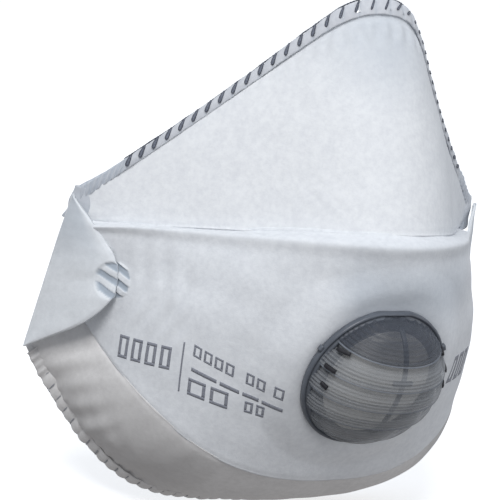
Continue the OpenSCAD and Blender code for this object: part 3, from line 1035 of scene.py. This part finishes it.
# (radius, height) in millimetres round the section of the rim
RIM_PROFILE = ((21.25, 0.15), (21.9, 0.15), (22.0, 0.5), (22.0, 1.5), (21.85, 1.85), (21.5, 2.0),
               (21.2, 1.9), (21.0, 1.6), (20.8, 1.6), (20.6, 2.1), (20.35, 2.35), (20.0, 2.4),
               (19.5, 2.2), (19.3, 1.5), (21.25, 1.45))
rim = turned("cover_rim", RIM_PROFILE, RIM, 21.4 * MM)
bands = [louvre_band(f"cover_louvre_{k + 1}", top * MM, bottom * MM, k == 0)
         for k, (top, bottom) in enumerate(zip(LOUVRES, LOUVRES[1:]))]


def bar(name, points, normals, half_width, half_depth, material):
    """A bar of rectangular section with eased corners along a path."""
    along = unit(np.gradient(points, axis=0))
    side = unit(np.cross(along, normals))
    corners = ((-1, -0.7), (-0.8, -1), (0.8, -1), (1, -0.7), (1, 0.7), (0.8, 1), (-0.8, 1), (-1, 0.7))
    loops = np.stack([points + side * a * half_width + normals * b * half_depth for a, b in corners], 1)
    return swept(name, loops, material)


def dome_bar(name, y, angle, low, high, half_width, half_depth, material):
    """A bar that follows the dome midway between two offsets from its surface. Sizes are in millimetres."""
    inner, outer = (dome_point(y * MM, angle, offset * MM) for offset in (low, high))
    return bar(name, (inner + outer) / 2, unit(outer - inner), half_width * MM, half_depth * MM, material)


fittings = []
for k in range(6):
    top = LOUVRES[k] - (0.6 if k == 0 else 0.1)
    bottom = LOUVRES[k + 1] + (0.9 if k == 5 else 0.3)
    y = np.linspace(top, bottom, 14)
    depth = np.sqrt(np.clip(1 - (y * MM / DOME_R) ** 2, 0.08, 1))
    fittings.append(dome_bar(f"cover_rib_{k + 1}", y, 0, -2.7 * depth, -1.9 * depth, 0.65, 0.45, RIM))
cross_angle = np.linspace(-0.17, 0.17, 9)
fittings.append(dome_bar("cover_crossbar", np.full(9, 7.3), cross_angle, -2.6, -1.8, 0.75, 0.5, RIM))

# (millimetres up the base, angle across the dome) of the outer and inner end of each slot
SLOT_ENDS = (((11.4, 1.40), (12.0, 1.11)), ((6.4, 1.39), (6.5, 1.15)), ((1.8, 1.29), (1.2, 1.15)))
for k, ends in enumerate(SLOT_ENDS):
    y, angle = np.linspace(*ends, 8).T
    for side in (-1, 1):
        name = f"cover_slot_{k + 1}_{side_name(side)}"
        fittings.append(dome_bar(name, y, side * angle, -0.1, 0.75, 0.55, 0.45, SLOT))

for side in (-1, 1):
    turn = np.linspace(math.radians(24), math.radians(28), 5)
    path = on_valve(side * 22.3 * MM * np.cos(turn), 22.3 * MM * np.sin(turn), 1.0 * MM)
    name = "cover_nub_" + side_name(side)
    fittings.append(bar(name, path, unit(path - VALVE_POS), 0.7 * MM, 0.55 * MM, RIM))

for piece in [rim, *bands, *fittings]:
    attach(piece, "mask_body")
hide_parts("valve_cover")


# ---------------- nose foam

def nose_foam():
    """A strip of foam behind the bridge of the nose, crowned towards the face."""
    rows, columns = 24, 120
    s, u = np.meshgrid(np.linspace(0.082, 0.235, rows), np.linspace(-0.38, 0.38, columns), indexing="ij")
    p, n, _ = panel_frame(UPPER, s, u)
    h = upper_relief(s, u, p) + LINING_DEPTH - 0.08 * MM
    across, along = np.linspace(-1, 1, rows)[:, None], np.linspace(-1, 1, columns)
    crown = np.sqrt(1 - 0.96 * across ** 4) * np.sqrt(1 - 0.96 * along ** 12)
    soft = 0.1 * MM * waves(p, 12 * MM, 7, 61)
    face = p + n * (h - crown * (2.2 * MM + soft))[..., None]
    piece = shell("nose_foam_pad", p + n * h[..., None], face, FOAM)
    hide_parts("nose_foam")
    return piece


nose_pad = nose_foam()


# ---------------- materials of the nodes that still show

NODE_MATERIALS = {
    "valve_seat": SEAT, "valve_clamp_ring": SEAT, "valve_flap_bar": BAR, "valve_flap": SILICONE,
    "valve_flap_root": SILICONE, "nose_clip": CLIP}
for node, material in NODE_MATERIALS.items():
    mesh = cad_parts[node].data
    mesh.materials.clear()
    mesh.materials.append(material)


# ---------------- which body each fabric piece follows

for piece in (cover_middle, lining_middle):
    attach(piece, "mask_body")
for piece in (cover_upper, lining_upper, nose_hem, nose_stitches, nose_thread, nose_pad, *hem_ends):
    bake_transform(piece)
for piece in (cover_lower, lining_lower, chin_hem, chin_thread):
    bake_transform(piece)


# ---------------- floor, light and camera

def stage_floor():
    """A pale sweep that stands under the mask and rises behind it."""
    low = cad_box[0].z - 0.4 * MM
    steps = 24
    rows = []
    for k in range(steps + 1):
        t = k / steps
        turn = min(1, max(0, (t - 0.5) / 0.3)) * math.pi / 2
        rows.append((-1.2 + 2.4 * min(t / 0.5, 1) + 0.6 * math.sin(turn),
                     low + 0.6 * (1 - math.cos(turn)) + 2.4 * max(0, t - 0.8) / 0.2))
    points = [(x, y, z) for y, z in rows for x in (-3, 3)]
    faces = [(2 * k, 2 * k + 1, 2 * k + 3, 2 * k + 2) for k in range(steps)]
    material, tree, shader = node_material("pale_floor")
    give_all(tree, shader, Base_Color=(0.93, 0.93, 0.93, 1), Roughness=0.9, Emission_Color=(1, 1, 1, 1),
             Emission_Strength=0.55)
    floor = new_object("floor", points, faces, material)
    floor.visible_diffuse = False
    floor.visible_glossy = False


def area_light(name, place, target, size, power):
    data = bpy.data.lights.new(name, "AREA")
    data.shape = "DISK"
    data.size = size
    data.energy = power
    light = bpy.data.objects.new(name, data)
    bpy.context.scene.collection.objects.link(light)
    light.location = place
    light.rotation_mode = "QUATERNION"
    light.rotation_quaternion = (Vector(target) - Vector(place)).to_track_quat("-Z", "Y")


def make_sky():
    """A soft studio world, warmer and darker below."""
    world = bpy.data.worlds.new("studio")
    bpy.context.scene.world = world
    world.use_nodes = True
    tree = world.node_tree
    direction = tree.nodes.new("ShaderNodeTexCoord").outputs["Generated"]
    parts = add(tree, "ShaderNodeSeparateXYZ", Vector=direction)
    height = mixed(tree, "MULTIPLY", mixed(tree, "ADD", parts.outputs["Z"], 1.0), 0.5)
    sky = ramp(tree, height, (0.0, (0.27, 0.255, 0.245)), (1.0, (0.46, 0.50, 0.56)))
    give_all(tree, tree.nodes["Background"], Color=sky, Strength=1.0)


def make_camera():
    azimuth, elevation, roll = (math.radians(a) for a in (-31.1, 14.1, 9.05))
    back = Vector((math.sin(azimuth) * math.cos(elevation), -math.cos(azimuth) * math.cos(elevation),
                   math.sin(elevation)))
    right = Vector((math.cos(azimuth), math.sin(azimuth), 0))
    up = back.cross(right)
    rolled_right = right * math.cos(roll) + up * math.sin(roll)
    rolled_up = up * math.cos(roll) - right * math.sin(roll)
    target = Vector((-14.3, -11.3, 11.2)) * MM
    data = bpy.data.cameras.new("camera")
    data.sensor_width = 36
    data.lens = 199.07
    data.clip_start, data.clip_end = 0.05, 20
    camera = bpy.data.objects.new("camera", data)
    bpy.context.scene.collection.objects.link(camera)
    turn = Matrix((rolled_right, rolled_up, back)).transposed().to_4x4()
    camera.matrix_world = Matrix.Translation(target + back * 0.8) @ turn
    bpy.context.scene.camera = camera


stage_floor()
make_camera()
area_light("key", (-0.52, -0.58, 0.93), (0, -0.02, 0.01), 0.6, 8.8)
area_light("fill", (0.85, -0.65, 0.15), (0, -0.03, 0), 0.8, 1.8)
make_sky()
bpy.context.scene.view_settings.view_transform = "Standard"
